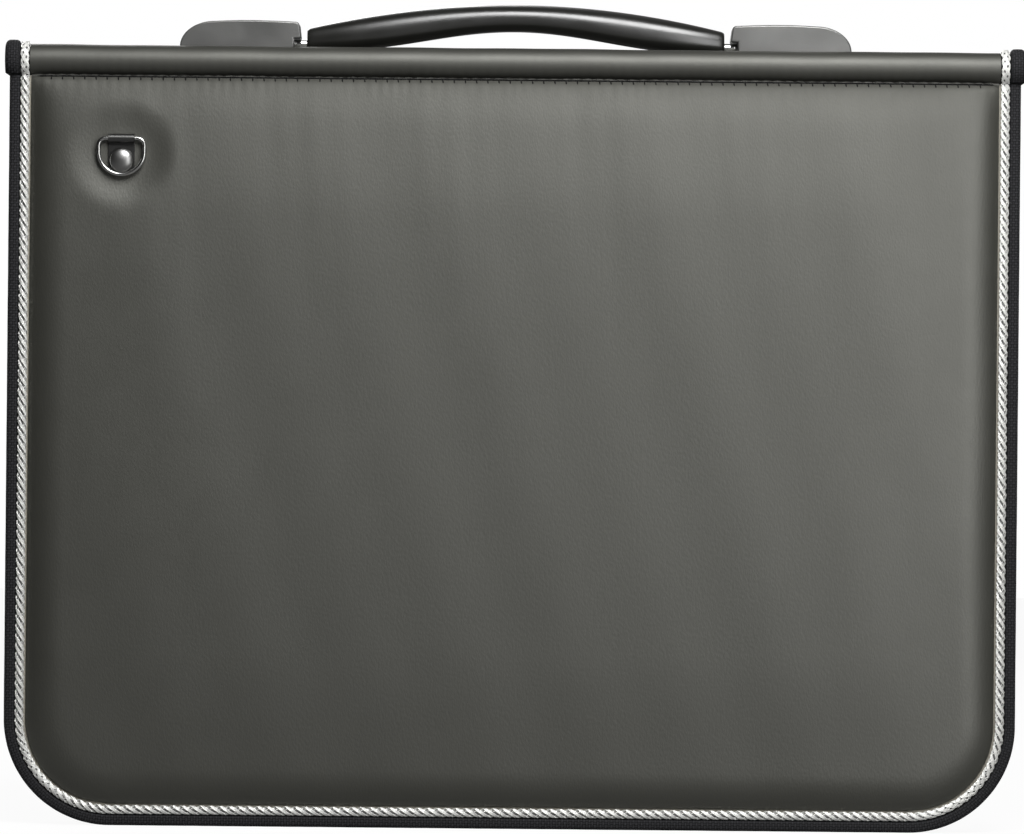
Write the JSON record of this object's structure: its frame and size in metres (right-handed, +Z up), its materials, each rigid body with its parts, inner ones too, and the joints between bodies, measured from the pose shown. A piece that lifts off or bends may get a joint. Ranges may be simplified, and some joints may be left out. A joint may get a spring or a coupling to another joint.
{
  "type": "presentation display book",
  "caption": "Zip-round landscape presentation case with padded covers, braided edge trim, carrying handle, strap rings, and clear sleeves on an opening ring mechanism.",
  "frame": {"origin": "under the middle of the closed case, on the surface that the lower edges of its covers stand on", "axes": "+X along the spine to the right, -Y out of the front cover, +Z up to the spine and the handle"},
  "size_m": [0.465, 0.0498, 0.3766],
  "materials": {
    "grained_cover": "grained leatherette, satin",
    "edge_binding": "black woven tape",
    "silver_braid": "silver metallic braid",
    "board": "grey board",
    "lining": "black lining cloth",
    "zip_tape": "black woven zip tape",
    "zip_teeth": "black coil",
    "handle_grip": "glossy black moulding",
    "handle_lug": "fine-textured dark grey moulding",
    "bright_metal": "bright plated steel",
    "mechanism_steel": "nickel-plated steel",
    "zip_metal": "black enamel",
    "clear_film": "clear polyester film",
    "insert_card": "black insert paper"
  },
  "bodies": {
    "spine": {"spine_cover": "grained_cover", "spine_board": "board", "handle_plate": "mechanism_steel", "spine_lining": "lining", "left_spine_binding": "edge_binding", "right_spine_binding": "edge_binding", "left_spine_braid": "silver_braid", "right_spine_braid": "silver_braid", "left_handle_lug": "handle_lug", "right_handle_lug": "handle_lug", "left_handle_pin": "bright_metal", "right_handle_pin": "bright_metal", "ring_rail": "mechanism_steel", "left_rail_rivet": "mechanism_steel", "right_rail_rivet": "mechanism_steel"},
    "front_cover": {"front_cover_board": "board", "front_cover_panel": "grained_cover", "front_cover_lining": "lining", "front_edge_binding": "edge_binding", "front_edge_braid": "silver_braid", "front_zip_tape": "zip_tape", "front_zip_teeth": "zip_teeth", "front_strap_clip": "bright_metal", "front_strap_rivet": "bright_metal"},
    "back_cover": {"back_cover_board": "board", "back_cover_panel": "grained_cover", "back_cover_lining": "lining", "back_edge_binding": "edge_binding", "back_edge_braid": "silver_braid", "back_zip_tape": "zip_tape", "back_zip_teeth": "zip_teeth", "back_strap_clip": "bright_metal", "back_strap_rivet": "bright_metal"},
    "front_leaves": {"front_sleeve_1": "clear_film", "front_sleeve_2": "clear_film", "front_insert_1": "insert_card", "front_insert_2": "insert_card"},
    "back_leaves": {"back_sleeve_1": "clear_film", "back_sleeve_2": "clear_film", "back_insert_1": "insert_card", "back_insert_2": "insert_card"},
    "front_rings": {"front_ring_carrier": "mechanism_steel", "front_half_ring_1": "mechanism_steel", "front_half_ring_2": "mechanism_steel", "front_half_ring_3": "mechanism_steel", "front_half_ring_4": "mechanism_steel"},
    "back_rings": {"back_ring_carrier": "mechanism_steel", "back_half_ring_1": "mechanism_steel", "back_half_ring_2": "mechanism_steel", "back_half_ring_3": "mechanism_steel", "back_half_ring_4": "mechanism_steel"},
    "left_lever": {"left_ring_lever": "mechanism_steel"},
    "right_lever": {"right_ring_lever": "mechanism_steel"},
    "handle": {"handle_grip": "handle_grip"},
    "front_ring": {"front_strap_ring": "bright_metal"},
    "back_ring": {"back_strap_ring": "bright_metal"},
    "left_slider": {"left_zip_slider": "zip_metal"},
    "right_slider": {"right_zip_slider": "zip_metal"},
    "left_puller": {"left_zip_puller": "zip_metal"},
    "right_puller": {"right_zip_puller": "zip_metal"}
  },
  "joints": [
    {"name": "front_cover_open", "type": "hinge", "parent": "spine", "child": "front_cover", "pos_m": [0, -0.02, 0.34198], "axis": [-1, 0, 0], "range_deg": [0, 90]},
    {"name": "back_cover_open", "type": "hinge", "parent": "spine", "child": "back_cover", "pos_m": [0, 0.02, 0.34198], "axis": [1, 0, 0], "range_deg": [0, 90]},
    {"name": "front_leaves_turn", "type": "hinge", "parent": "spine", "child": "front_leaves", "pos_m": [0, 0, 0.3325], "axis": [-1, 0, 0], "range_deg": [0, 73]},
    {"name": "back_leaves_turn", "type": "hinge", "parent": "spine", "child": "back_leaves", "pos_m": [0, 0, 0.3325], "axis": [1, 0, 0], "range_deg": [0, 73]},
    {"name": "rings_open", "type": "hinge", "parent": "spine", "child": "front_rings", "pos_m": [0, 0, 0.33855], "axis": [-1, 0, 0], "range_deg": [0, 13]},
    {"name": "back_rings_open", "type": "hinge", "parent": "spine", "child": "back_rings", "pos_m": [0, 0, 0.33855], "axis": [1, 0, 0], "range_deg": [0, 13.5]},
    {"name": "left_lever_press", "type": "hinge", "parent": "spine", "child": "left_lever", "pos_m": [-0.147, 0, 0.33878], "axis": [0, 1, 0], "range_deg": [0, 13.5]},
    {"name": "right_lever_press", "type": "hinge", "parent": "spine", "child": "right_lever", "pos_m": [0.147, 0, 0.33878], "axis": [0, -1, 0], "range_deg": [0, 13.5]},
    {"name": "handle_fold", "type": "hinge", "parent": "spine", "child": "handle", "pos_m": [0, 0, 0.35788], "axis": [1, 0, 0], "range_deg": [-45, 45]},
    {"name": "front_strap_ring_swing", "type": "hinge", "parent": "front_cover", "child": "front_ring", "pos_m": [-0.179, -0.02275, 0.31298], "axis": [-1, 0, 0], "range_deg": [0, 170]},
    {"name": "back_strap_ring_swing", "type": "hinge", "parent": "back_cover", "child": "back_ring", "pos_m": [0.179, 0.02275, 0.31298], "axis": [1, 0, 0], "range_deg": [0, 170]},
    {"name": "left_zip_slide", "type": "slide", "parent": "back_cover", "child": "left_slider", "axis": [0, 0, -1], "range_m": [0, 0.26]},
    {"name": "right_zip_slide", "type": "slide", "parent": "back_cover", "child": "right_slider", "axis": [0, 0, -1], "range_m": [0, 0.26]},
    {"name": "left_puller_swing", "type": "hinge", "parent": "left_slider", "child": "left_puller", "pos_m": [-0.22815, 0, 0.32198], "axis": [0, 1, 0], "range_deg": [0, 150]},
    {"name": "right_puller_swing", "type": "hinge", "parent": "right_slider", "child": "right_puller", "pos_m": [0.22815, 0, 0.32198], "axis": [0, -1, 0], "range_deg": [0, 150]}
  ],
  "couplings": [
    {"joint": "front_leaves_turn", "follows": "front_cover_open", "ratio": 0.8},
    {"joint": "back_leaves_turn", "follows": "back_cover_open", "ratio": 0.8},
    {"joint": "back_rings_open", "follows": "rings_open", "ratio": 1},
    {"joint": "left_lever_press", "follows": "rings_open", "ratio": 1},
    {"joint": "right_lever_press", "follows": "rings_open", "ratio": 1}
  ]
}
